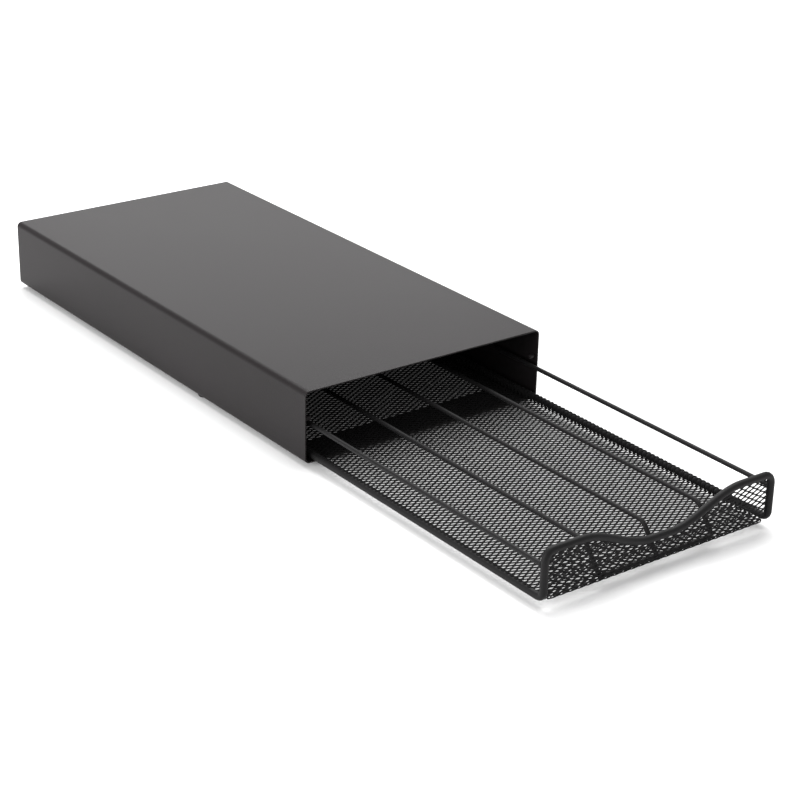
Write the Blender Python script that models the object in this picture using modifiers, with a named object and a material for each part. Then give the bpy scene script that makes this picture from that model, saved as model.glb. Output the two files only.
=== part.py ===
"""Slide-out storage drawer: a folded steel sleeve on rubber feet, and a tray of expanded
metal in a bent wire frame that slides in it on the sleeve's bottom flanges.

Metres, +Z up. The open mouth faces -Y. The origin is on the ground, under the middle of the
whole object while the tray stands pulled out. The sleeve's pieces are laid out from its mouth
and its underside, the tray's from the middle of its front rim wire and the same underside.
"""
import math

import bpy
from mathutils import Vector

# Sleeve
CASE_W = 0.200
CASE_L = 0.410
CASE_H = 0.0523
SHEET = 0.001
BEND_R = 0.005
FLANGE_W = 0.023
STRAP_L = 0.029
GAP = 0.0003

# Rubber feet under the flanges: (distance from the middle, distance from the mouth, radius)
FOOT_H = 0.003
FEET = {
    "front": (0.088, 0.016, 0.005),
    "middle": (0.093, 0.140, 0.004),
    "rear": (0.088, 0.394, 0.005),
}

# Hold-down tabs inside the side walls, just behind the mouth
TAB_Y = 0.003
TAB_L = 0.003
TAB_Z = 0.0287
TAB_H = 0.0045
TAB_IN = 0.0922

# Tray
PULL_OUT = 0.235
TRAY_L = 0.402
RIM_R = 0.0025
RAIL_X = 0.0925
RAIL_Z = 0.0044
CORNER_R = 0.005
TOP_CORNER_R = 0.0065
RIM_STUB = 0.012
SHOULDER_Z = 0.0355
SCOOP_Z = 0.0193
SCOOP_FLAT = 0.008
SCOOP_END = 0.066
SCOOP_STEPS = 9

SIDE_WIRE_R = 0.0016
SIDE_WIRE_X = 0.093
SIDE_WIRE_Z = 0.0265
STOP_FROM_REAR = 0.064
STOP_RISE = 0.0065
STOP_RUN = 0.006

DIVIDER_R = 0.0015
DIVIDER_PITCH = 0.0466
DIVIDER_Z = 0.022
DIVIDER_BEND_Y = 0.0165
DIVIDER_BEND_R = 0.008
BAR_Y = 0.0024
BAR_Z = 0.0038

MESH_T = 0.0006
MESH_Z = 0.0013
FLOOR_HALF_W = 0.091

MOUTH_Y = -(CASE_L - PULL_OUT - RIM_R) / 2
FOOT_STEPS = 20
ARC_STEPS = 4
SIDES = {"left": -1, "right": 1}

PAINT = {"colour": (0.030, 0.029, 0.029, 1.0), "roughness": 0.55, "metallic": 0.0}
WIRE_PAINT = {"colour": (0.022, 0.021, 0.022, 1.0), "roughness": 0.45, "metallic": 0.0}
MESH_PAINT = {"colour": (0.026, 0.025, 0.026, 1.0), "roughness": 0.50, "metallic": 0.0}
RUBBER = {"colour": (0.015, 0.015, 0.015, 1.0), "roughness": 0.85, "metallic": 0.0}


def clear_scene():
    for obj in list(bpy.data.objects):
        bpy.data.objects.remove(obj, do_unlink=True)


def new_collection(name):
    collection = bpy.data.collections.new(name)
    bpy.context.scene.collection.children.link(collection)
    return collection


def finish(obj, name, look, parent):
    """Name a piece, give it its own material and put it in the drawer under its frame."""
    obj.name = name
    obj.parent = parent
    for collection in list(obj.users_collection):
        collection.objects.unlink(obj)
    DRAWER.objects.link(obj)
    material = bpy.data.materials.new(name + "_finish")
    material.use_nodes = True
    shader = material.node_tree.nodes["Principled BSDF"]
    shader.inputs["Base Color"].default_value = look["colour"]
    shader.inputs["Roughness"].default_value = look["roughness"]
    shader.inputs["Metallic"].default_value = look["metallic"]
    obj.data.materials.append(material)
    return obj


def frame_empty(name, location):
    empty = bpy.data.objects.new(name, None)
    empty.empty_display_size = 0.02
    empty.location = location
    DRAWER.objects.link(empty)
    return empty


def rounded(corners, radius_at):
    """Points of a path through corners, with an arc wherever radius_at names a radius."""
    points = []
    for i, corner in enumerate(corners):
        here = Vector(corner)
        if i not in radius_at:
            points.append(here)
            continue
        back = (Vector(corners[i - 1]) - here).normalized()
        ahead = (Vector(corners[(i + 1) % len(corners)]) - here).normalized()
        half = back.angle(ahead) / 2
        radius = radius_at[i]
        centre = here + (back + ahead).normalized() * radius / math.sin(half)
        start = here + back * radius / math.tan(half) - centre
        end = here + ahead * radius / math.tan(half) - centre
        sweep = start.angle(end)
        for k in range(ARC_STEPS + 1):
            t = k / ARC_STEPS
            a = math.sin((1 - t) * sweep) / math.sin(sweep)
            b = math.sin(t * sweep) / math.sin(sweep)
            points.append(centre + start * a + end * b)
    return points


def wire(name, points, radius, look, parent):
    """A round wire with closed ends along points."""
    curve = bpy.data.curves.new(name, "CURVE")
    curve.dimensions = "3D"
    curve.bevel_depth = radius
    curve.bevel_resolution = 2
    curve.use_fill_caps = True
    spline = curve.splines.new("POLY")
    spline.points.add(len(points) - 1)
    for target, point in zip(spline.points, points):
        target.co = (*point, 1.0)
    obj = bpy.data.objects.new(name, curve)
    return finish(obj, name, look, parent)


def upright_plate(name, outline, thickness, y_middle, look, parent):
    """A flat plate across the drawer: outline in (x, z), thickness along Y."""
    curve = bpy.data.curves.new(name, "CURVE")
    curve.dimensions = "2D"
    curve.fill_mode = "BOTH"
    curve.extrude = thickness / 2
    spline = curve.splines.new("POLY")
    spline.points.add(len(outline) - 1)
    for target, point in zip(spline.points, outline):
        target.co = (point[0], point[1], 0.0, 1.0)
    spline.use_cyclic_u = True
    obj = bpy.data.objects.new(name, curve)
    obj.rotation_euler = (math.pi / 2, 0, 0)
    obj.location = (0, y_middle, 0)
    return finish(obj, name, look, parent)


def box(name, low, high, look, parent, bevel=0.0):
    """A plain or softly edged box between two corners."""
    bpy.ops.mesh.primitive_cube_add(size=1)
    obj = bpy.context.object
    low, high = Vector(low), Vector(high)
    for vertex in obj.data.vertices:
        vertex.co = vertex.co * (high - low) + (low + high) / 2
    if bevel:
        edges = obj.modifiers.new("soft edges", "BEVEL")
        edges.width = bevel
        edges.segments = 2
    return finish(obj, name, look, parent)


def make_sleeve(case):
    """Top, side walls and bottom flanges, folded from one sheet."""
    half, inner, lip = CASE_W / 2, CASE_W / 2 - SHEET, CASE_W / 2 - FLANGE_W
    corners = [
        (-lip, 0), (-half, 0), (-half, CASE_H), (half, CASE_H), (half, 0), (lip, 0),
        (lip, SHEET), (inner, SHEET), (inner, CASE_H - SHEET),
        (-inner, CASE_H - SHEET), (-inner, SHEET), (-lip, SHEET),
    ]
    radius_at = {i: BEND_R for i in (1, 2, 3, 4)}
    radius_at.update({i: BEND_R - SHEET for i in (7, 8, 9, 10)})
    outline = rounded(corners, radius_at)
    upright_plate("sleeve_shell", outline, CASE_L, CASE_L / 2, PAINT, case)


def make_sleeve_fittings(case):
    """Straps between the flanges, the back and the hold-down tabs."""
    strap_x = CASE_W / 2 - FLANGE_W - GAP
    for name, start in (("front", 0.0), ("rear", CASE_L - STRAP_L)):
        low = (-strap_x, start, 0)
        high = (strap_x, start + STRAP_L, SHEET)
        box(name + "_cross_strap", low, high, PAINT, case)

    half = CASE_W / 2 - SHEET - GAP
    low_z, high_z = SHEET + GAP, CASE_H - SHEET - GAP
    corners = [(-half, low_z), (-half, high_z), (half, high_z), (half, low_z)]
    outline = rounded(corners, {i: BEND_R - SHEET for i in range(4)})
    upright_plate("rear_panel", outline, SHEET, CASE_L - GAP - SHEET / 2, PAINT, case)

    for side, sign in SIDES.items():
        ends = sorted((sign * TAB_IN, sign * half))
        low = (ends[0], TAB_Y - TAB_L / 2, TAB_Z)
        high = (ends[1], TAB_Y + TAB_L / 2, TAB_Z + TAB_H)
        box(side + "_hold_down_tab", low, high, PAINT, case, bevel=0.0006)


def make_feet(case):
    """Low rubber domes with a flat underside, turned about their own upright axis."""
    for place, (x, y, radius) in FEET.items():
        top = -GAP
        profile = [(0, top), (radius, top)]
        for k in range(1, ARC_STEPS + 1):
            turn = k / ARC_STEPS * math.pi / 2
            r = radius * (0.55 + 0.45 * math.cos(turn))
            profile.append((r, top - (FOOT_H - GAP) * math.sin(turn)))
        profile.append((0, -FOOT_H))
        for side, sign in SIDES.items():
            name = "foot_" + place + "_" + side
            mesh = bpy.data.meshes.new(name)
            vertices = [(r, 0, z) for r, z in profile]
            mesh.from_pydata(vertices, [(i, i + 1) for i in range(len(vertices) - 1)], [])
            obj = bpy.data.objects.new(name, mesh)
            turned = obj.modifiers.new("turned", "SCREW")
            turned.steps = turned.render_steps = FOOT_STEPS
            turned.use_merge_vertices = True
            turned.merge_threshold = 0.00001
            obj.location = (sign * x, y, 0)
            finish(obj, name, RUBBER, case)


def scoop_height(x):
    """Height of the front rim wire: level shoulders and a smooth dip in the middle."""
    t = (abs(x) - SCOOP_FLAT) / (SCOOP_END - SCOOP_FLAT)
    t = min(max(t, 0.0), 1.0)
    return SCOOP_Z + (SHOULDER_Z - SCOOP_Z) * (1 - math.cos(math.pi * t)) / 2


def scoop_places():
    """x of the rim wire's points, from the left shoulder through the dip to the right one."""
    step = (SCOOP_END - SCOOP_FLAT) / SCOOP_STEPS
    right = [SCOOP_FLAT + step * k for k in range(SCOOP_STEPS + 1)]
    return [-x for x in reversed(right)] + right


def end_frame(name, y_at, top_points, tray):
    """Wire at one end of the tray: up from each rail, round the corners and across."""
    left = [(-RAIL_X, y_at(RIM_STUB), RAIL_Z), (-RAIL_X, y_at(0), RAIL_Z)]
    left.append((-RAIL_X, y_at(0), SHOULDER_Z))
    right = [(-x, y, z) for x, y, z in reversed(left)]
    corners = left + [(x, y_at(0), z) for x, z in top_points] + right
    last = len(corners) - 1
    radius_at = {1: CORNER_R, 2: TOP_CORNER_R, last - 2: TOP_CORNER_R, last - 1: CORNER_R}
    wire(name, rounded(corners, radius_at), RIM_R, WIRE_PAINT, tray)


def make_frame(tray):
    """Front and rear rims, bottom rails and upper side wires."""
    front_top = [(x, scoop_height(x)) for x in scoop_places()]
    end_frame("front_rim", lambda y: y, front_top, tray)
    end_frame("rear_rim", lambda y: TRAY_L - y, [], tray)

    stop_y = TRAY_L - STOP_FROM_REAR
    for side, sign in SIDES.items():
        x = sign * RAIL_X
        first, last = RIM_STUB + GAP, TRAY_L - RIM_STUB - GAP
        wire(side + "_rail", [(x, first, RAIL_Z), (x, last, RAIL_Z)], RIM_R, WIRE_PAINT, tray)

        x = sign * SIDE_WIRE_X
        high_z = SIDE_WIRE_Z + STOP_RISE
        corners = [
            (x, RIM_R + GAP, SIDE_WIRE_Z), (x, stop_y, SIDE_WIRE_Z),
            (x, stop_y + STOP_RUN, high_z), (x, TRAY_L - RIM_R - GAP, high_z),
        ]
        path = rounded(corners, {1: 0.003, 2: 0.003})
        wire(side + "_side_wire", path, SIDE_WIRE_R, WIRE_PAINT, tray)


def make_dividers(tray):
    """Raised lengthwise wires that drop at both ends to a bar on the floor."""
    bar = Vector((0, BAR_Y, BAR_Z))
    bend = Vector((0, DIVIDER_BEND_Y, DIVIDER_Z))
    foot = bar + (bend - bar).normalized() * (DIVIDER_R + GAP)
    for name, lane in (("left", -1), ("middle", 0), ("right", 1)):
        x = lane * DIVIDER_PITCH
        corners = [
            (x, foot.y, foot.z), (x, bend.y, bend.z),
            (x, TRAY_L - bend.y, bend.z), (x, TRAY_L - foot.y, foot.z),
        ]
        path = rounded(corners, {1: DIVIDER_BEND_R, 2: DIVIDER_BEND_R})
        wire("divider_" + name, path, DIVIDER_R, WIRE_PAINT, tray)
    half = DIVIDER_PITCH + DIVIDER_R
    for name, y in (("front", BAR_Y), ("rear", TRAY_L - BAR_Y)):
        ends = [(-half, y, BAR_Z), (half, y, BAR_Z)]
        wire("divider_" + name + "_bar", ends, DIVIDER_R, WIRE_PAINT, tray)


def make_mesh_sheets(tray):
    """Floor, front and rear of the tray, as plain sheets of the mesh's outline."""
    low = (-FLOOR_HALF_W, -MESH_T / 2, MESH_Z)
    high = (FLOOR_HALF_W, TRAY_L + MESH_T / 2, MESH_Z + MESH_T)
    box("floor_mesh", low, high, MESH_PAINT, tray)

    half = RAIL_X - RIM_R - GAP
    low_z = MESH_Z + MESH_T + GAP
    drop = 1.28 * RIM_R
    edge_z = SHOULDER_Z - drop
    top = [(x, scoop_height(x) - drop) for x in scoop_places()]
    corners = [(-half, low_z), (-half, edge_z)] + top + [(half, edge_z), (half, low_z)]
    outline = rounded(corners, {1: 0.005, len(corners) - 2: 0.005})
    upright_plate("front_mesh", outline, MESH_T, 0, MESH_PAINT, tray)

    corners = [(-half, low_z), (-half, edge_z), (half, edge_z), (half, low_z)]
    outline = rounded(corners, {1: 0.005, 2: 0.005})
    upright_plate("rear_mesh", outline, MESH_T, TRAY_L, MESH_PAINT, tray)


clear_scene()
DRAWER = new_collection("slide_out_drawer")
sleeve_frame = frame_empty("sleeve_frame", (0, MOUTH_Y, FOOT_H))
tray_frame = frame_empty("tray_frame", (0, MOUTH_Y - PULL_OUT, FOOT_H))

make_sleeve(sleeve_frame)
make_sleeve_fittings(sleeve_frame)
make_feet(sleeve_frame)
make_frame(tray_frame)
make_dividers(tray_frame)
make_mesh_sheets(tray_frame)
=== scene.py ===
"""Slide-out storage drawer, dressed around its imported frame: a powder-coated steel sleeve on
rubber feet, and a tray of expanded metal hung in a bent wire frame.

Metres, +Z up, open mouth towards -Y, ground at z = 0.
"""
import math

import bmesh
import bpy
from mathutils import Matrix, Vector


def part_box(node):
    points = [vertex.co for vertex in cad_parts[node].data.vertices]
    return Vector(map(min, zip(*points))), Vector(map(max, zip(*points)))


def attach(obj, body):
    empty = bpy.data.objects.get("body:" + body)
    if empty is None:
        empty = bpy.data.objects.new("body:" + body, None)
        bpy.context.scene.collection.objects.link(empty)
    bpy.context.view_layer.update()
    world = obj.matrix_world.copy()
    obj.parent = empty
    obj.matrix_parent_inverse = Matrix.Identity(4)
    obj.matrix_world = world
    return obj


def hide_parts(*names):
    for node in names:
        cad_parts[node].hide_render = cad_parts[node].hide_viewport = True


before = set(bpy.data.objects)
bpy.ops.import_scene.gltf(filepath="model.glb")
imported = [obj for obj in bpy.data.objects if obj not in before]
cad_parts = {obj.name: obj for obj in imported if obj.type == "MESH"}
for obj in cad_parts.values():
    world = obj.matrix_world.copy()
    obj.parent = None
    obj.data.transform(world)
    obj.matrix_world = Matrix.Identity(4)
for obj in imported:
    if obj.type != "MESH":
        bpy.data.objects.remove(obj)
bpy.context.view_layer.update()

QUARTER_TURN = math.pi / 2

# Sheet steel of the sleeve
SHEET = 0.001
BEND_R = 0.0038
BEND_STEPS = 10
BEND_HOLD = 0.0006
FLANGE_W = 0.023
CUT_EDGE = 0.0002
LUG_TRIM = 0.0014
LUG_ROUND = 0.0013
FOOT_R = {"front": 0.005, "middle": 0.004, "rear": 0.005}

# Wires of the tray
RIM_R = 0.0025
RIM_CORNER_R = 0.005
RIM_TOP_CORNER_R = 0.0065
SCOOP_DROP = 0.0162
SCOOP_FLAT = 0.008
SCOOP_END = 0.066
SCOOP_STEPS = 18
SIDE_WIRE_R = 0.0016
STOP_FROM_REAR = 0.064
STOP_RISE = 0.0065
STOP_RUN = 0.006
STOP_BEND_R = 0.003
DIVIDER_R = 0.0015
DIVIDER_BEND_Y = 0.0165
DIVIDER_BEND_R = 0.008
BAR_CORNER_R = 0.004
WIRE_SIDES = 16

# Expanded metal of the tray
LONG_PITCH = 0.0070
SHORT_PITCH = 0.0040
STRAND_W = 0.00094
STRAND_T = 0.00050
BOND_L = 0.0011
BOND_LIFT = 0.00002
MESH_ROWS = 121
PAN_LIFT = 0.00045
PAN_COLUMNS = 27
PAN_BEND_R = 0.0022
PAN_TRIM_X = 0.0922
HEM_COLUMNS = 29
HEM_OFF_RAIL = 0.0027
HEM_L = 0.0066
HEM_FROM_END = 0.011
NOTCH = 0.0035
TRIM_PASSES = 6
PAST_TRAY = 1.0

# Welds, by their half sizes across, along and up
SIDE_WIRE_BEAD = (0.0021, 0.0014, 0.0022)
MIDDLE_WIRE_BEAD = (0.0021, 0.0017, 0.0017)
BAR_BEAD = (0.0011, 0.0015, 0.0009)
BAR_BEAD_DROP = 0.0009
BAR_BEAD_X = (-0.034, -0.017, 0.017, 0.034)
STRAP_SPOT = (0.0022, 0.0022, 0.00022)
STRAP_SPOT_IN_X = 0.004
STRAP_SPOT_IN_Y = 0.008

# Angles in degrees from which an edge is shaded sharp
SHEET_SHARP = 20
LUG_SHARP = 35
FOOT_SHARP = 40
WIRE_SHARP = 50

# Places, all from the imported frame
SLEEVE_LOW, SLEEVE_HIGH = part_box("sleeve_shell")
FRONT_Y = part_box("front_rim")[0].y + RIM_R
REAR_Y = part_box("rear_rim")[1].y - RIM_R
SHOULDER_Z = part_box("rear_rim")[1].z - RIM_R
TRAY_L = REAR_Y - FRONT_Y


def middle_of(node):
    low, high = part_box(node)
    return (low + high) / 2


RAIL_X, RAIL_Z = middle_of("right_rail").x, middle_of("right_rail").z
DIVIDER_X = middle_of("divider_right").x
DIVIDER_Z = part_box("divider_right")[1].z - DIVIDER_R
BAR_FRONT = middle_of("divider_front_bar")
SIDE_WIRE_X = middle_of("right_side_wire").x
SIDE_WIRE_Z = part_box("right_side_wire")[0].z + SIDE_WIRE_R
PAN_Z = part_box("floor_mesh")[0].z + PAN_LIFT


# ---------------------------------------------------------------- node trees

class Bench:
    """Lays out and wires the nodes of one tree."""

    def __init__(self, tree):
        self.tree = tree

    @classmethod
    def new_group(cls, name, kind, inputs, outputs):
        """A node group with named sockets: (name, kind, default) in, (name, kind) out."""
        bench = cls(bpy.data.node_groups.new(name, kind))
        sockets = bench.tree.interface
        for label, form, default in inputs:
            made = sockets.new_socket(label, in_out="INPUT", socket_type="NodeSocket" + form)
            if default is not None:
                made.default_value = default
        for label, form in outputs:
            sockets.new_socket(label, in_out="OUTPUT", socket_type="NodeSocket" + form)
        bench.entry = bench.tree.nodes.new("NodeGroupInput").outputs
        bench.exit = bench.tree.nodes.new("NodeGroupOutput").inputs
        return bench

    def feed(self, socket, value):
        if isinstance(value, bpy.types.NodeSocket):
            self.tree.links.new(value, socket)
        else:
            socket.default_value = value

    def add(self, kind, inputs=(), **settings):
        """A node with its settings and its inputs, by name or number; gives back its outputs."""
        node = self.tree.nodes.new(kind)
        for setting, value in settings.items():
            setattr(node, setting, value)
        for key, value in dict(inputs).items():
            self.feed(node.inputs[key], value)
        return node.outputs

    def maths(self, operation, *values):
        return self.add("ShaderNodeMath", dict(enumerate(values)), operation=operation)[0]

    def plus(self, first, second):
        return self.maths("ADD", first, second)

    def minus(self, first, second):
        return self.maths("SUBTRACT", first, second)

    def times(self, first, second):
        return self.maths("MULTIPLY", first, second)

    def above(self, value, low, gain):
        """How far a value stands above a low one, times a gain."""
        return self.times(self.minus(value, low), gain)

    def share(self, value):
        """A value held between 0 and 1."""
        return self.maths("MINIMUM", self.maths("MAXIMUM", value, 0.0), 1.0)

    def blend(self, share, first, second):
        """A colour between two others."""
        return self.add("ShaderNodeMix", {0: share, 6: first, 7: second}, data_type="RGBA")[2]

    def scaled(self, vector, size):
        """A vector times a number."""
        return self.add("ShaderNodeVectorMath", {0: vector, "Scale": size},
                        operation="SCALE")[0]

    def split(self, vector):
        return self.add("ShaderNodeSeparateXYZ", {"Vector": vector})

    def vector(self, x, y, z):
        return self.add("ShaderNodeCombineXYZ", {"X": x, "Y": y, "Z": z})[0]


def grown(name, base, tree, values):
    """The plain mesh that a geometry tree makes from a base mesh."""
    source = bpy.data.objects.new(name + "_source", base)
    bpy.context.scene.collection.objects.link(source)
    modifier = source.modifiers.new("grow", "NODES")
    modifier.node_group = tree
    for item in tree.interface.items_tree:
        if item.in_out == "INPUT" and item.name in values:
            modifier[item.identifier] = values[item.name]
    mesh = settled(source)
    bpy.data.objects.remove(source)
    mesh.name = name
    return mesh


def settled(obj):
    """The object's mesh with all its modifiers carried out."""
    depsgraph = bpy.context.evaluated_depsgraph_get()
    depsgraph.update()
    return bpy.data.meshes.new_from_object(obj.evaluated_get(depsgraph), depsgraph=depsgraph)


def swept_wire_tree():
    bench = Bench.new_group(
        "swept_wire", "GeometryNodeTree",
        [("Path", "Geometry", None), ("Wire Radius", "Float", 0.002),
         ("Sides", "Int", 16), ("Finish", "Material", None)],
        [("Wire", "Geometry")])
    path = bench.add("GeometryNodeMeshToCurve", {"Mesh": bench.entry["Path"]})[0]
    ring = bench.add("GeometryNodeCurvePrimitiveCircle",
                     {"Resolution": bench.entry["Sides"], "Radius": bench.entry["Wire Radius"]})[0]
    tube = bench.add("GeometryNodeCurveToMesh",
                     {"Curve": path, "Profile Curve": ring, "Fill Caps": True})[0]
    smooth = bench.add("GeometryNodeSetShadeSmooth", {"Geometry": tube})[0]
    whole = bench.add("GeometryNodeRealizeInstances", {"Geometry": smooth})[0]
    painted = bench.add("GeometryNodeSetMaterial",
                        {"Geometry": whole, "Material": bench.entry["Finish"]})[0]
    bench.feed(bench.exit["Wire"], painted)
    return bench.tree


def expanded_metal_tree():
    """Lays one knot of strands out as a staggered sheet, trims it to the tray's outline, folds
    it up at both ends and lays its long edges over the rails."""
    floats = ["Long Pitch", "Short Pitch", "Keep From", "Keep To", "Cut From", "Cut To", "Length",
              "Fold Radius", "Middle Y", "Floor Z", "Rail X", "Rail Height", "Hem From", "Top Z",
              "Scoop Drop", "Scoop Flat", "Scoop End", "Corner Radius", "Notch", "Notch From"]
    bench = Bench.new_group(
        "expanded_metal", "GeometryNodeTree",
        [("Knot", "Geometry", None), ("Columns", "Int", 27), ("Rows", "Int", 117),
         ("Rounding", "Int", 0)] + [(label, "Float", 0.0) for label in floats]
        + [("Finish", "Material", None)],
        [("Sheet", "Geometry")])
    put, maths, entry = bench.add, bench.maths, bench.entry
    plus, minus, times = bench.plus, bench.minus, bench.times

    # Rows of knots, and the rows between them, half a pitch further both ways
    across, along = entry["Columns"], entry["Rows"]
    grid = put("GeometryNodeMeshGrid", {
        "Size X": times(minus(across, 1), entry["Long Pitch"]),
        "Size Y": times(minus(along, 1), entry["Short Pitch"]),
        "Vertices X": across, "Vertices Y": along})["Mesh"]
    shift = bench.vector(times(entry["Long Pitch"], 0.5), times(entry["Short Pitch"], 0.5), 0.0)
    between = put("GeometryNodeTransform", {"Geometry": grid, "Translation": shift})[0]
    both = bench.tree.nodes.new("GeometryNodeJoinGeometry")
    for rows in (grid, between):
        bench.tree.links.new(rows, both.inputs[0])
    knots = put("GeometryNodeInstanceOnPoints",
                {"Points": both.outputs[0], "Instance": entry["Knot"]})[0]
    sheet = put("GeometryNodeRealizeInstances", {"Geometry": knots})[0]

    # The wanted stretch of it, as one sheet
    flat = bench.split(put("GeometryNodeInputPosition")[0])
    aside = maths("ABSOLUTE", flat["X"])
    outside = plus(maths("LESS_THAN", aside, entry["Keep From"]),
                   maths("GREATER_THAN", aside, entry["Keep To"]))
    beyond = plus(maths("LESS_THAN", flat["Y"], entry["Cut From"]),
                  maths("GREATER_THAN", flat["Y"], entry["Cut To"]))
    sheet = put("GeometryNodeDeleteGeometry",
                {"Geometry": sheet, "Selection": plus(outside, beyond)}, domain="FACE")[0]
    sheet = put("GeometryNodeMergeByDistance", {"Geometry": sheet, "Distance": 0.00001})[0]
    sheet = put("GeometryNodeSubdivideMesh", {"Mesh": sheet, "Level": entry["Rounding"]})[0]

    # Folds at both ends
    half = times(entry["Length"], 0.5)
    from_end = minus(half, maths("ABSOLUTE", flat["Y"]))
    fold_r = entry["Fold Radius"]
    into_fold = maths("MAXIMUM", minus(fold_r, from_end), 0.0)
    turn = maths("MINIMUM", maths("DIVIDE", into_fold, fold_r), QUARTER_TURN)
    upright = minus(into_fold, times(turn, fold_r))
    arm = minus(fold_r, flat["Z"])
    depth = minus(maths("MAXIMUM", from_end, fold_r), times(arm, maths("SINE", turn)))
    rise = plus(upright, minus(fold_r, times(arm, maths("COSINE", turn))))

    # Long edges turned up against the rails and laid over them
    hem_x, rail_x, rail_height = entry["Hem From"], entry["Rail X"], entry["Rail Height"]
    on_hem = maths("GREATER_THAN", aside, hem_x)
    climb = minus(aside, hem_x)
    to_axis = minus(rail_x, hem_x)
    over = maths("DIVIDE", maths("MAXIMUM", minus(climb, rail_height), 0.0), to_axis)
    reach = plus(to_axis, flat["Z"])
    turned = minus(rail_x, times(reach, maths("COSINE", over)))
    raised = minus(plus(maths("MINIMUM", climb, rail_height), times(reach, maths("SINE", over))),
                   flat["Z"])
    wide = plus(times(on_hem, turned), times(minus(1.0, on_hem), aside))
    place = bench.vector(
        times(maths("SIGN", flat["X"]), wide),
        plus(entry["Middle Y"], times(maths("SIGN", flat["Y"]), minus(half, depth))),
        plus(entry["Floor Z"], plus(rise, times(on_hem, raised))))
    sheet = put("GeometryNodeSetPosition", {"Geometry": sheet, "Position": place})[0]

    # Upper edge trimmed along the middle of the rim wire
    here = bench.split(put("GeometryNodeInputPosition")[0])
    aside = maths("ABSOLUTE", here["X"])
    share = bench.share(maths("DIVIDE", minus(aside, entry["Scoop Flat"]),
                              minus(entry["Scoop End"], entry["Scoop Flat"])))
    wave = plus(maths("COSINE", times(share, math.pi)), 1.0)
    dip = times(times(wave, 0.5), entry["Scoop Drop"])
    at_front = maths("LESS_THAN", here["Y"], entry["Middle Y"])
    edge = minus(entry["Top Z"], times(dip, at_front))
    past_edge = maths("GREATER_THAN", here["Z"], edge)

    # Upper corners trimmed round, and the folds notched where the posts of the rim pass
    corner = entry["Corner Radius"]
    corner_x = maths("MAXIMUM", minus(aside, minus(rail_x, corner)), 0.0)
    corner_z = maths("MAXIMUM", minus(here["Z"], minus(entry["Top Z"], corner)), 0.0)
    radial = maths("SQRT", plus(maths("POWER", corner_x, 2.0), maths("POWER", corner_z, 2.0)))
    past_corner = times(maths("GREATER_THAN", radial, corner),
                        maths("GREATER_THAN", corner_z, 0.0))
    end_gap = minus(half, maths("ABSOLUTE", minus(here["Y"], entry["Middle Y"])))
    at_fold = times(maths("LESS_THAN", end_gap, entry["Notch"]),
                    maths("LESS_THAN", here["Z"], plus(entry["Floor Z"], entry["Notch"])))
    at_post = maths("GREATER_THAN", aside, entry["Notch From"])
    waste = plus(plus(past_edge, past_corner), times(at_fold, at_post))
    sheet = put("GeometryNodeDeleteGeometry", {"Geometry": sheet, "Selection": waste},
                domain="FACE")[0]
    whole = put("GeometryNodeRealizeInstances", {"Geometry": sheet})[0]
    painted = put("GeometryNodeSetMaterial",
                  {"Geometry": whole, "Material": entry["Finish"]})[0]
    bench.feed(bench.exit["Sheet"], painted)
    return bench.tree


def lumps_tree():
    """A slightly uneven round blob on each point, sized by the points' own attribute."""
    bench = Bench.new_group(
        "lumps", "GeometryNodeTree",
        [("Points", "Geometry", None), ("Fineness", "Int", 3), ("Unevenness", "Float", 0.0001),
         ("Grain", "Float", 900.0), ("Seed", "Int", 7), ("Finish", "Material", None)],
        [("Lumps", "Geometry")])
    put, entry = bench.add, bench.entry
    ball = put("GeometryNodeMeshIcoSphere",
               {"Radius": 1.0, "Subdivisions": entry["Fineness"]})["Mesh"]
    size = put("GeometryNodeInputNamedAttribute", {"Name": "size"},
               data_type="FLOAT_VECTOR")["Attribute"]
    # Inputs 2 and 3 and output 1 are the ones for plain numbers
    spread = put("FunctionNodeRandomValue", {2: 0.88, 3: 1.12, "Seed": entry["Seed"]},
                 data_type="FLOAT")[1]
    blobs = put("GeometryNodeInstanceOnPoints", {
        "Points": entry["Points"], "Instance": ball, "Scale": bench.scaled(size, spread)})[0]
    blobs = put("GeometryNodeRealizeInstances", {"Geometry": blobs})[0]
    noise = put("ShaderNodeTexNoise", {"Scale": entry["Grain"], "Detail": 1.0})[0]
    bump = bench.above(noise, 0.5, entry["Unevenness"])
    push = bench.scaled(put("GeometryNodeInputNormal")[0], bump)
    blobs = put("GeometryNodeSetPosition", {"Geometry": blobs, "Offset": push})[0]
    smooth = put("GeometryNodeSetShadeSmooth", {"Geometry": blobs})[0]
    painted = put("GeometryNodeSetMaterial",
                  {"Geometry": smooth, "Material": entry["Finish"]})[0]
    bench.feed(bench.exit["Lumps"], painted)
    return bench.tree


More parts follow.
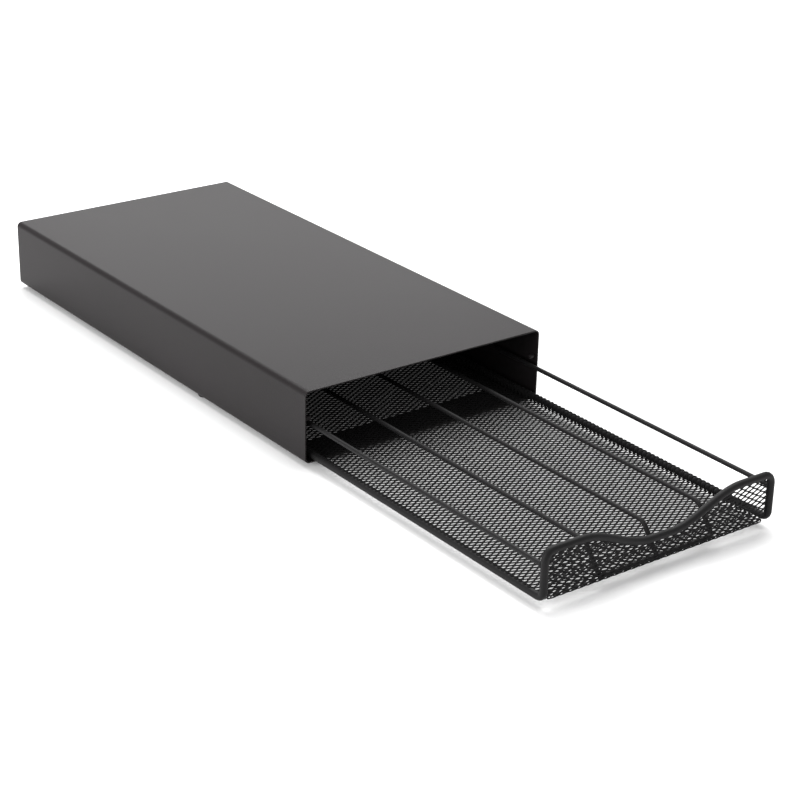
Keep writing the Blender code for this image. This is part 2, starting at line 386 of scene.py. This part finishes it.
def feet_tree():
    """A low rubber dome on each point, narrowing towards the ground."""
    bench = Bench.new_group(
        "rubber_feet", "GeometryNodeTree",
        [("Points", "Geometry", None), ("Height", "Float", 0.003), ("Sides", "Int", 32),
         ("Rings", "Int", 8), ("Tread", "Float", 0.55), ("Finish", "Material", None)],
        [("Feet", "Geometry")])
    put, maths, entry = bench.add, bench.maths, bench.entry
    plus, minus, times = bench.plus, bench.minus, bench.times
    drum = put("GeometryNodeMeshCone", {
        "Vertices": entry["Sides"], "Side Segments": entry["Rings"], "Fill Segments": 3,
        "Radius Top": 1.0, "Radius Bottom": 1.0, "Depth": 1.0})["Mesh"]
    here = bench.split(put("GeometryNodeInputPosition")[0])
    down = minus(1.0, here["Z"])
    bulge = maths("SQRT", maths("MAXIMUM", minus(1.0, times(down, down)), 0.0))
    wide = plus(entry["Tread"], times(minus(1.0, entry["Tread"]), bulge))
    place = bench.vector(times(here["X"], wide), times(here["Y"], wide), here["Z"])
    dome = put("GeometryNodeSetPosition", {"Geometry": drum, "Position": place})[0]
    radius = put("GeometryNodeInputNamedAttribute", {"Name": "radius"},
                 data_type="FLOAT")["Attribute"]
    feet = put("GeometryNodeInstanceOnPoints", {
        "Points": entry["Points"], "Instance": dome,
        "Scale": bench.vector(radius, radius, entry["Height"])})[0]
    feet = put("GeometryNodeRealizeInstances", {"Geometry": feet})[0]
    painted = put("GeometryNodeSetMaterial", {"Geometry": feet, "Material": entry["Finish"]})[0]
    bench.feed(bench.exit["Feet"], painted)
    return bench.tree


# ---------------------------------------------------------------- finishes

def powder_coat_group():
    """Paint colour with slow mottling and fine specks, uneven gloss, and orange-peel height."""
    bench = Bench.new_group(
        "powder_coat", "ShaderNodeTree",
        [("Paint", "Color", (0.03, 0.03, 0.03, 1)), ("Bloom", "Color", (0.05, 0.05, 0.05, 1)),
         ("Gloss Low", "Float", 0.38), ("Gloss High", "Float", 0.5),
         ("Peel Scale", "Float", 800.0), ("Speck Scale", "Float", 2600.0)],
        [("Color", "Color"), ("Roughness", "Float"), ("Height", "Float")])
    put, entry = bench.add, bench.entry
    plus, minus, times = bench.plus, bench.minus, bench.times
    place = put("ShaderNodeTexCoord")["Object"]
    clouds = put("ShaderNodeTexNoise",
                 {"Vector": place, "Scale": 9.0, "Detail": 4.0, "Roughness": 0.6})[0]
    specks = put("ShaderNodeTexNoise",
                 {"Vector": place, "Scale": entry["Speck Scale"], "Detail": 1.0})[0]
    peel = put("ShaderNodeTexNoise",
               {"Vector": place, "Scale": entry["Peel Scale"], "Detail": 2.0})[0]
    mottling = bench.share(plus(bench.above(clouds, 0.38, 2.2), bench.above(specks, 0.5, 0.9)))
    unevenness = bench.share(plus(times(clouds, 0.6), times(peel, 0.4)))
    gloss = plus(entry["Gloss Low"],
                 times(minus(entry["Gloss High"], entry["Gloss Low"]), unevenness))
    bench.feed(bench.exit["Color"], bench.blend(mottling, entry["Paint"], entry["Bloom"]))
    bench.feed(bench.exit["Roughness"], gloss)
    bench.feed(bench.exit["Height"], plus(peel, times(specks, 0.25)))
    return bench.tree


def edge_highlight_and_thin_coat_group():
    """A broken mask along sharp edges, where the paint is made lighter: a thin coat there and a
    painted highlight along the edges.
    """
    bench = Bench.new_group(
        "painted_edge_highlight_and_thin_coat", "ShaderNodeTree",
        [("Reach", "Float", 0.0006), ("Break Scale", "Float", 350.0), ("Amount", "Float", 0.7)],
        [("Mask", "Float")])
    put, entry = bench.add, bench.entry
    softened = put("ShaderNodeBevel", {"Radius": entry["Reach"]}, samples=4)[0]
    facing = put("ShaderNodeNewGeometry")["Normal"]
    agreement = put("ShaderNodeVectorMath", {0: softened, 1: facing},
                    operation="DOT_PRODUCT")["Value"]
    edge = bench.share(bench.times(bench.minus(1.0, agreement), 6.0))
    place = put("ShaderNodeTexCoord")["Object"]
    breaks = put("ShaderNodeTexNoise", {"Vector": place, "Scale": entry["Break Scale"],
                                        "Detail": 3.0})[0]
    broken = bench.share(bench.above(breaks, 0.42, 5.0))
    bench.feed(bench.exit["Mask"], bench.times(bench.times(edge, broken), entry["Amount"]))
    return bench.tree


POWDER_COAT = powder_coat_group()
EDGE_HIGHLIGHT_AND_THIN_COAT = edge_highlight_and_thin_coat_group()


def powder_coated(name, coat, peel_strength, peel_depth, shine, highlight_and_thin_coat=None, highlight_and_thin_coat_colour=None):
    """A painted finish, or rubber, with lighter sharp edges where their settings are given: a thin
    coat there and a painted highlight.
    """
    material = bpy.data.materials.new(name)
    material.use_nodes = True
    bench = Bench(material.node_tree)
    shader = material.node_tree.nodes["Principled BSDF"]
    paint = bench.add("ShaderNodeGroup", coat, node_tree=POWDER_COAT)
    colour = paint["Color"]
    # Lighter colour along the sharp edges: a painted highlight, and the thinner coat there
    if highlight_and_thin_coat:
        mask = bench.add("ShaderNodeGroup", highlight_and_thin_coat, node_tree=EDGE_HIGHLIGHT_AND_THIN_COAT)["Mask"]
        colour = bench.blend(mask, colour, highlight_and_thin_coat_colour)
    bump = bench.add("ShaderNodeBump", {
        "Strength": peel_strength, "Distance": peel_depth, "Height": paint["Height"]})[0]
    bench.feed(shader.inputs["Base Color"], colour)
    bench.feed(shader.inputs["Roughness"], paint["Roughness"])
    bench.feed(shader.inputs["Normal"], bump)
    bench.feed(shader.inputs["Specular IOR Level"], shine)
    return material


SLEEVE_PAINT = powder_coated(
    "sleeve_satin_powder_coat",
    {"Paint": (0.0130, 0.0111, 0.0116, 1), "Bloom": (0.0182, 0.0156, 0.0165, 1),
     "Gloss Low": 0.36, "Gloss High": 0.46, "Peel Scale": 850.0, "Speck Scale": 2800.0},
    peel_strength=0.25, peel_depth=0.0002, shine=0.105,
    # Edges made lighter: a painted highlight along the sheet edges, and a thin coat there
    highlight_and_thin_coat={"Reach": 0.0006, "Break Scale": 300.0, "Amount": 0.6},
    highlight_and_thin_coat_colour=(0.063, 0.061, 0.060, 1))
WIRE_PAINT = powder_coated(
    "wire_powder_coat",
    {"Paint": (0.0078, 0.0076, 0.0080, 1), "Bloom": (0.0128, 0.0122, 0.0126, 1),
     "Gloss Low": 0.42, "Gloss High": 0.56, "Peel Scale": 1100.0, "Speck Scale": 3200.0},
    peel_strength=0.35, peel_depth=0.0002, shine=0.14)
MESH_PAINT = powder_coated(
    "mesh_powder_coat",
    {"Paint": (0.009, 0.0088, 0.0092, 1), "Bloom": (0.016, 0.0155, 0.0158, 1),
     "Gloss Low": 0.55, "Gloss High": 0.70, "Peel Scale": 1400.0, "Speck Scale": 3600.0},
    peel_strength=0.3, peel_depth=0.0001, shine=0.05)
RUBBER = powder_coated(
    "foot_soft_rubber",
    {"Paint": (0.010, 0.010, 0.010, 1), "Bloom": (0.026, 0.025, 0.024, 1),
     "Gloss Low": 0.75, "Gloss High": 0.92, "Peel Scale": 1600.0, "Speck Scale": 4200.0},
    peel_strength=0.4, peel_depth=0.0001, shine=0.4)


# ---------------------------------------------------------------- making pieces

def rounded(corners, radius_at):
    """Points of a path through corners, with an arc wherever radius_at names a radius."""
    points = []
    for i, corner in enumerate(corners):
        here = Vector(corner)
        if i not in radius_at:
            points.append(here)
            continue
        back = (Vector(corners[i - 1]) - here).normalized()
        ahead = (Vector(corners[(i + 1) % len(corners)]) - here).normalized()
        half = back.angle(ahead) / 2
        radius = radius_at[i]
        centre = here + (back + ahead).normalized() * radius / math.sin(half)
        start = here + back * radius / math.tan(half) - centre
        end = here + ahead * radius / math.tan(half) - centre
        sweep = start.angle(end)
        for step in range(BEND_STEPS + 1):
            t = step / BEND_STEPS
            of_start = math.sin((1 - t) * sweep) / math.sin(sweep)
            of_end = math.sin(t * sweep) / math.sin(sweep)
            points.append(centre + start * of_start + end * of_end)
    return points


def plain_mesh(name, vertices, edges=(), faces=()):
    mesh = bpy.data.meshes.new(name)
    mesh.from_pydata([tuple(v) for v in vertices], list(edges), list(faces))
    mesh.update()
    return mesh


def place_piece(name, mesh, body, replaced, material=None, sharp_from=None):
    """Put a finished mesh into the scene as a piece of the drawer."""
    obj = bpy.data.objects.new(name, mesh)
    bpy.context.scene.collection.objects.link(obj)
    if material:
        mesh.materials.append(material)
    if sharp_from:
        mesh.shade_smooth()
        mesh.set_sharp_from_angle(angle=math.radians(sharp_from))
    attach(obj, body)
    if replaced:
        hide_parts(*replaced)


def thickened(name, mesh, thickness):
    """A sheet surface given its thickness and softly broken cut edges, as one closed mesh."""
    source = bpy.data.objects.new(name + "_source", mesh)
    bpy.context.scene.collection.objects.link(source)
    wall = source.modifiers.new("thickness", "SOLIDIFY")
    wall.thickness = thickness
    wall.offset = 0.0
    wall.use_even_offset = True
    soft = source.modifiers.new("cut edges", "BEVEL")
    soft.width = CUT_EDGE
    soft.segments = 2
    soft.limit_method = "ANGLE"
    soft.angle_limit = math.radians(40)
    made = settled(source)
    bpy.data.objects.remove(source)
    made.name = name
    return made


def make_sleeve():
    """Top, side walls and bottom flanges, folded from one sheet."""
    half = SLEEVE_HIGH.x - SHEET / 2
    lip = SLEEVE_HIGH.x - FLANGE_W
    low, high = SLEEVE_LOW.z + SHEET / 2, SLEEVE_HIGH.z - SHEET / 2
    corners = [(-lip, 0, low), (-half, 0, low), (-half, 0, high), (half, 0, high),
               (half, 0, low), (lip, 0, low)]
    bend = BEND_R - SHEET / 2
    arcs = rounded(corners, {i: bend for i in (1, 2, 3, 4)})
    profile = [arcs[0]]
    for before, here in zip(arcs, arcs[1:]):
        run = (here - before).length
        if run > 4 * BEND_HOLD:
            # A flat stretch, held flat close to the folds so that it shades evenly
            towards = (here - before) / run
            if len(profile) > 1:
                profile.append(before + towards * BEND_HOLD)
            if here is not arcs[-1]:
                profile.append(here - towards * BEND_HOLD)
        profile.append(here)
    vertices = [(p.x, y, p.z) for y in (SLEEVE_LOW.y, SLEEVE_HIGH.y) for p in profile]
    n = len(profile)
    faces = [(i, i + 1, n + i + 1, n + i) for i in range(n - 1)]
    surface = plain_mesh("sleeve_surface", vertices, (), faces)
    mesh = thickened("sleeve_wrap", surface, SHEET)
    place_piece("sleeve_wrap", mesh, "sleeve", ["sleeve_shell"],
                SLEEVE_PAINT, SHEET_SHARP)


def plate(name, outline, thickness, replaced):
    """A flat sheet piece of the sleeve, from its outline's points."""
    surface = plain_mesh(name + "_surface", outline, (), [tuple(range(len(outline)))])
    mesh = thickened(name, surface, thickness)
    place_piece(name, mesh, "sleeve", [replaced], SLEEVE_PAINT, SHEET_SHARP)


def make_straps():
    """Flat straps that join the two bottom flanges."""
    for name in ("front_cross_strap", "rear_cross_strap"):
        low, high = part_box(name)
        z = (low.z + high.z) / 2
        outline = [(low.x, low.y, z), (high.x, low.y, z), (high.x, high.y, z), (low.x, high.y, z)]
        plate(name.replace("cross_", "") + "_plate", outline, high.z - low.z, name)


def make_back():
    low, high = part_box("rear_panel")
    y = (low.y + high.y) / 2
    corners = [(low.x, y, low.z), (high.x, y, low.z), (high.x, y, high.z), (low.x, y, high.z)]
    outline = rounded(corners, {i: BEND_R - SHEET for i in range(4)})
    plate("back_plate", outline, high.y - low.y, "rear_panel")


def make_stop_lugs():
    """Rounded lugs on the side walls that hold the tray down and stop it."""
    for side in ("left", "right"):
        node = side + "_hold_down_tab"
        low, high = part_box(node)
        inner = high if side == "left" else low
        inner.x += math.copysign(LUG_TRIM, inner.x)
        low.z += LUG_TRIM
        mesh = bpy.data.meshes.new(side + "_stop_lug")
        bm = bmesh.new()
        bmesh.ops.create_cube(bm, size=1.0, matrix=Matrix.Translation((low + high) / 2)
                              @ Matrix.Diagonal((*(high - low), 1.0)))
        bmesh.ops.bevel(bm, geom=bm.edges[:], offset=LUG_ROUND, segments=5, profile=0.5,
                        affect="EDGES")
        bmesh.ops.recalc_face_normals(bm, faces=bm.faces[:])
        bm.to_mesh(mesh)
        bm.free()
        place_piece(side + "_stop_lug", mesh, "sleeve", [node],
                    SLEEVE_PAINT, LUG_SHARP)


def make_feet():
    names = ["foot_" + place + "_" + side for place in FOOT_R for side in ("left", "right")]
    spots, radii = [], []
    for name in names:
        spot = middle_of(name)
        spots.append((spot.x, spot.y, 0.0))
        radii.append(FOOT_R[name.split("_")[1]])
    base = plain_mesh("foot_spots", spots)
    base.attributes.new("radius", "FLOAT", "POINT").data.foreach_set("value", radii)
    mesh = grown("rubber_feet", base, feet_tree(), {"Height": SLEEVE_LOW.z, "Finish": RUBBER})
    place_piece("rubber_feet", mesh, "sleeve", names, sharp_from=FOOT_SHARP)


def scoop_points():
    """Front rim wire across the tray: level shoulders and a smooth dip in the middle."""
    span = SCOOP_END - SCOOP_FLAT
    right = []
    for step in range(SCOOP_STEPS + 1):
        t = step / SCOOP_STEPS
        drop = SCOOP_DROP * (1 + math.cos(math.pi * t)) / 2
        right.append(Vector((SCOOP_FLAT + span * t, FRONT_Y, SHOULDER_Z - drop)))
    return [Vector((-p.x, p.y, p.z)) for p in reversed(right)] + right


def wire(name, points, radius, replaced, closed=False):
    """A painted round wire of the tray along a path, or round a closed one."""
    edges = [(i, i + 1) for i in range(len(points) - 1)]
    if closed:
        edges.append((len(points) - 1, 0))
    mesh = grown(name, plain_mesh(name + "_path", points, edges), SWEPT_WIRE,
                 {"Wire Radius": radius, "Sides": WIRE_SIDES, "Finish": WIRE_PAINT})
    mesh.set_sharp_from_angle(angle=math.radians(WIRE_SHARP))
    place_piece(name, mesh, "tray", replaced)


def make_rim_and_rails():
    """The outer wire: both rims and both rails, welded into one loop."""
    x, z, top = RAIL_X, RAIL_Z, SHOULDER_Z
    corners = [(-x, FRONT_Y, z), (-x, FRONT_Y, top)] + scoop_points()
    corners += [(x, FRONT_Y, top), (x, FRONT_Y, z), (x, REAR_Y, z), (x, REAR_Y, top),
                (-x, REAR_Y, top), (-x, REAR_Y, z)]
    last = len(corners) - 1
    low_corners, top_corners = (0, last - 4, last - 3, last), (1, last - 5, last - 2, last - 1)
    radius_at = {i: RIM_CORNER_R for i in low_corners}
    radius_at.update({i: RIM_TOP_CORNER_R for i in top_corners})
    wire("rim_and_rail_wire", rounded(corners, radius_at), RIM_R,
         ["front_rim", "rear_rim", "left_rail", "right_rail"], closed=True)


def make_side_wires():
    """Upper side wires, each with the step in its rear that stops the tray."""
    stop_y = REAR_Y - STOP_FROM_REAR
    for side, x in (("left", -SIDE_WIRE_X), ("right", SIDE_WIRE_X)):
        corners = [(x, FRONT_Y, SIDE_WIRE_Z), (x, stop_y, SIDE_WIRE_Z),
                   (x, stop_y + STOP_RUN, SIDE_WIRE_Z + STOP_RISE),
                   (x, REAR_Y, SIDE_WIRE_Z + STOP_RISE)]
        path = rounded(corners, {1: STOP_BEND_R, 2: STOP_BEND_R})
        wire(side + "_upper_side_wire", path, SIDE_WIRE_R, [side + "_side_wire"])


def make_dividers():
    """Lengthwise divider wires: the outer two and their cross bars are one loop."""
    x, z = DIVIDER_X, DIVIDER_Z
    bar_y, bar_z = BAR_FRONT.y - FRONT_Y, BAR_FRONT.z
    corners = [(-x, FRONT_Y + bar_y, bar_z), (-x, FRONT_Y + DIVIDER_BEND_Y, z),
               (-x, REAR_Y - DIVIDER_BEND_Y, z), (-x, REAR_Y - bar_y, bar_z),
               (x, REAR_Y - bar_y, bar_z), (x, REAR_Y - DIVIDER_BEND_Y, z),
               (x, FRONT_Y + DIVIDER_BEND_Y, z), (x, FRONT_Y + bar_y, bar_z)]
    radius_at = {i: BAR_CORNER_R for i in (0, 3, 4, 7)}
    radius_at.update({i: DIVIDER_BEND_R for i in (1, 2, 5, 6)})
    wire("outer_divider_loop", rounded(corners, radius_at), DIVIDER_R,
         ["divider_left", "divider_right", "divider_front_bar", "divider_rear_bar"], closed=True)
    corners = [(0, y, z) for _, y, z in corners[:4]]
    wire("middle_divider_wire", rounded(corners, {1: DIVIDER_BEND_R, 2: DIVIDER_BEND_R}),
         DIVIDER_R, ["divider_middle"])


def knot_mesh():
    """One bond of the expanded metal with the two strands that leave it towards the next row."""
    bond, width, lift = BOND_L / 2, STRAND_W, BOND_LIFT
    next_x, next_y = LONG_PITCH / 2, SHORT_PITCH / 2
    flat = [(-bond, -width, -lift), (bond, -width, -lift), (bond, 0, 0), (bond, width, lift),
            (-bond, width, lift), (-bond, 0, 0),
            (next_x - bond, next_y - width, -lift), (next_x - bond, next_y, 0),
            (bond - next_x, next_y - width, -lift), (bond - next_x, next_y, 0)]
    n = len(flat)
    half = STRAND_T / 2
    vertices = [(x, y, z + side) for side in (half, -half) for x, y, z in flat]
    tops = [(0, 1, 2, 5), (5, 2, 3, 4), (2, 6, 7, 3), (8, 5, 4, 9)]
    rims = [(0, 1), (3, 4), (2, 6), (7, 3), (8, 5), (4, 9)]
    faces = tops + [tuple(n + i for i in reversed(face)) for face in tops]
    faces += [(b, a, n + a, n + b) for a, b in rims]
    return plain_mesh("knot", vertices, (), faces)


def close_cut_ends(mesh):
    """Cap the strands that the trimming left open, each cap facing the way its strand does."""
    bm = bmesh.new()
    bm.from_mesh(mesh)
    for _ in range(TRIM_PASSES):
        edges = [e for e in bm.edges if e.is_boundary]
        for cap in bmesh.ops.holes_fill(bm, edges=edges, sides=0)["faces"]:
            side = cap.loops[0]
            if side.vert == side.link_loop_radial_next.vert:
                cap.normal_flip()
        ragged = [f for f in bm.faces if any(e.is_boundary for e in f.edges)]
        bmesh.ops.delete(bm, geom=ragged, context="FACES")
    bm.to_mesh(mesh)
    bm.free()


def make_expanded_metal():
    """The pan, folded up at both ends, and the hems that hang it on the rails."""
    tree = expanded_metal_tree()
    common = {
        "Long Pitch": LONG_PITCH, "Short Pitch": SHORT_PITCH, "Rows": MESH_ROWS,
        "Length": TRAY_L, "Fold Radius": PAN_BEND_R, "Middle Y": (FRONT_Y + REAR_Y) / 2,
        "Floor Z": PAN_Z, "Rail X": RAIL_X, "Rail Height": RAIL_Z - PAN_Z, "Top Z": SHOULDER_Z,
        "Scoop Drop": SCOOP_DROP, "Scoop Flat": SCOOP_FLAT, "Scoop End": SCOOP_END,
        "Corner Radius": RIM_TOP_CORNER_R, "Notch": NOTCH,
        "Notch From": RAIL_X - RIM_R - NOTCH, "Finish": MESH_PAINT}
    hem_x = RAIL_X - HEM_OFF_RAIL
    hem_end = TRAY_L / 2 - HEM_FROM_END
    pan = {"Columns": PAN_COLUMNS, "Rounding": 0, "Keep From": 0.0, "Keep To": PAN_TRIM_X,
           "Cut From": -PAST_TRAY, "Cut To": PAST_TRAY, "Hem From": PAST_TRAY}
    hems = {"Columns": HEM_COLUMNS, "Rounding": 1, "Keep From": hem_x,
            "Keep To": hem_x + HEM_L, "Cut From": -hem_end, "Cut To": hem_end,
            "Hem From": hem_x}
    for name, nodes, own in (
            ("tray_mesh_pan", ["front_mesh", "rear_mesh", "floor_mesh"], pan),
            ("tray_mesh_hems", ["floor_mesh"], hems)):
        mesh = grown(name, knot_mesh(), tree, {**common, **own})
        close_cut_ends(mesh)
        place_piece(name, mesh, "tray", nodes)


def beads(name, spots, unevenness, body, finish):
    """One piece of weld metal from its spots: (place, half sizes)."""
    base = plain_mesh(name + "_spots", [place for place, _ in spots])
    sizes = [value for _, size in spots for value in size]
    base.attributes.new("size", "FLOAT_VECTOR", "POINT").data.foreach_set("vector", sizes)
    mesh = grown(name, base, LUMPS, {"Unevenness": unevenness, "Finish": finish})
    place_piece(name, mesh, body, [])


def make_tray_welds():
    """Small beads where the wires of the tray meet."""
    spots = []
    for x in (-SIDE_WIRE_X, SIDE_WIRE_X):
        for y, z in ((FRONT_Y + RIM_R, SIDE_WIRE_Z), (REAR_Y - RIM_R, SIDE_WIRE_Z + STOP_RISE)):
            spots.append(((x, y, z), SIDE_WIRE_BEAD))
    bar_y, bar_z = BAR_FRONT.y - FRONT_Y, BAR_FRONT.z
    for y in (FRONT_Y + bar_y, REAR_Y - bar_y):
        spots.append(((0, y, bar_z), MIDDLE_WIRE_BEAD))
        for x in BAR_BEAD_X:
            spots.append(((x, y, bar_z - BAR_BEAD_DROP), BAR_BEAD))
    beads("tray_weld_beads", spots, 0.0004, "tray", WIRE_PAINT)


def make_strap_welds():
    """The flattened spots that hold the straps to the flanges."""
    spots = []
    for node in ("front_cross_strap", "rear_cross_strap"):
        low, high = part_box(node)
        for x in (low.x + STRAP_SPOT_IN_X, high.x - STRAP_SPOT_IN_X):
            for y in (low.y + STRAP_SPOT_IN_Y, high.y - STRAP_SPOT_IN_Y):
                for z in (low.z, high.z):
                    spots.append(((x, y, z), STRAP_SPOT))
    beads("strap_spot_welds", spots, 0.0001, "sleeve", SLEEVE_PAINT)


SWEPT_WIRE = swept_wire_tree()
LUMPS = lumps_tree()
make_sleeve()
make_straps()
make_back()
make_stop_lugs()
make_feet()
make_rim_and_rails()
make_side_wires()
make_dividers()
make_expanded_metal()
make_tray_welds()
make_strap_welds()


# ---------------------------------------------------------------- studio

def make_floor():
    """A wide matt floor under the feet, almost white."""
    size = 6.0
    mesh = plain_mesh("studio_floor", [(-size, -size, 0), (size, -size, 0), (size, size, 0),
                                       (-size, size, 0)], (), [(0, 1, 2, 3)])
    material = bpy.data.materials.new("pale_floor")
    material.use_nodes = True
    bench = Bench(material.node_tree)
    shader = material.node_tree.nodes["Principled BSDF"]
    place = bench.add("ShaderNodeTexCoord")["Object"]
    cloud = bench.add("ShaderNodeTexNoise", {"Vector": place, "Scale": 3.0})[0]
    colour = bench.blend(cloud, (0.90, 0.90, 0.90, 1), (0.92, 0.92, 0.92, 1))
    bench.feed(shader.inputs["Base Color"], colour)
    shader.inputs["Roughness"].default_value = 0.9
    shader.inputs["Specular IOR Level"].default_value = 0.0
    shader.inputs["Emission Color"].default_value = (1.0, 1.0, 1.0, 1)
    shader.inputs["Emission Strength"].default_value = 0.05
    mesh.materials.append(material)
    floor = bpy.data.objects.new("studio_floor", mesh)
    bpy.context.scene.collection.objects.link(floor)


def softbox(name, place, aim, width, height, power):
    """A lamp with a rectangular face, turned towards the point it aims at."""
    light = bpy.data.lights.new(name, "AREA")
    light.shape = "RECTANGLE"
    light.size, light.size_y = width, height
    light.energy = power
    obj = bpy.data.objects.new(name, light)
    obj.location = place
    obj.rotation_euler = (Vector(aim) - Vector(place)).to_track_quat("-Z", "Y").to_euler()
    obj.visible_camera = False
    bpy.context.scene.collection.objects.link(obj)


def make_studio():
    world = bpy.data.worlds.new("bright_studio")
    world.use_nodes = True
    backdrop = world.node_tree.nodes["Background"]
    backdrop.inputs["Color"].default_value = (1.0, 1.0, 1.0, 1)
    backdrop.inputs["Strength"].default_value = 0.66
    bpy.context.scene.world = world
    softbox("overhead_softbox", (0.5, 0.70, 1.95), aim=(0, 0, 0),
            width=2.2, height=1.6, power=64.0)
    softbox("rear_softbox", (0.36, 0.68, 0.29), aim=(0.05, 0.28, 0.05),
            width=0.7, height=0.32, power=1.4)
    softbox("left_fill", (-1.2, -0.02, 0.38), aim=(-0.1, 0, 0.03),
            width=0.9, height=0.5, power=11.0)
    bpy.context.scene.view_settings.view_transform = "Standard"


def make_camera():
    """Long lens from the front left, looking down on the drawer."""
    turn, down, tilt = math.radians(-37.09), math.radians(23.71), math.radians(1.295)
    camera = bpy.data.cameras.new("studio_camera")
    camera.sensor_width = 36.0
    camera.lens = 92.31
    camera.clip_end = 20.0
    obj = bpy.data.objects.new("studio_camera", camera)
    place = Matrix.Translation((-0.79134, -1.10352, 0.59085))
    aim = (Matrix.Rotation(turn, 4, "Z") @ Matrix.Rotation(QUARTER_TURN - down, 4, "X")
           @ Matrix.Rotation(tilt, 4, "Z"))
    obj.matrix_world = place @ aim
    bpy.context.scene.collection.objects.link(obj)
    bpy.context.scene.camera = obj


make_floor()
make_studio()
make_camera()
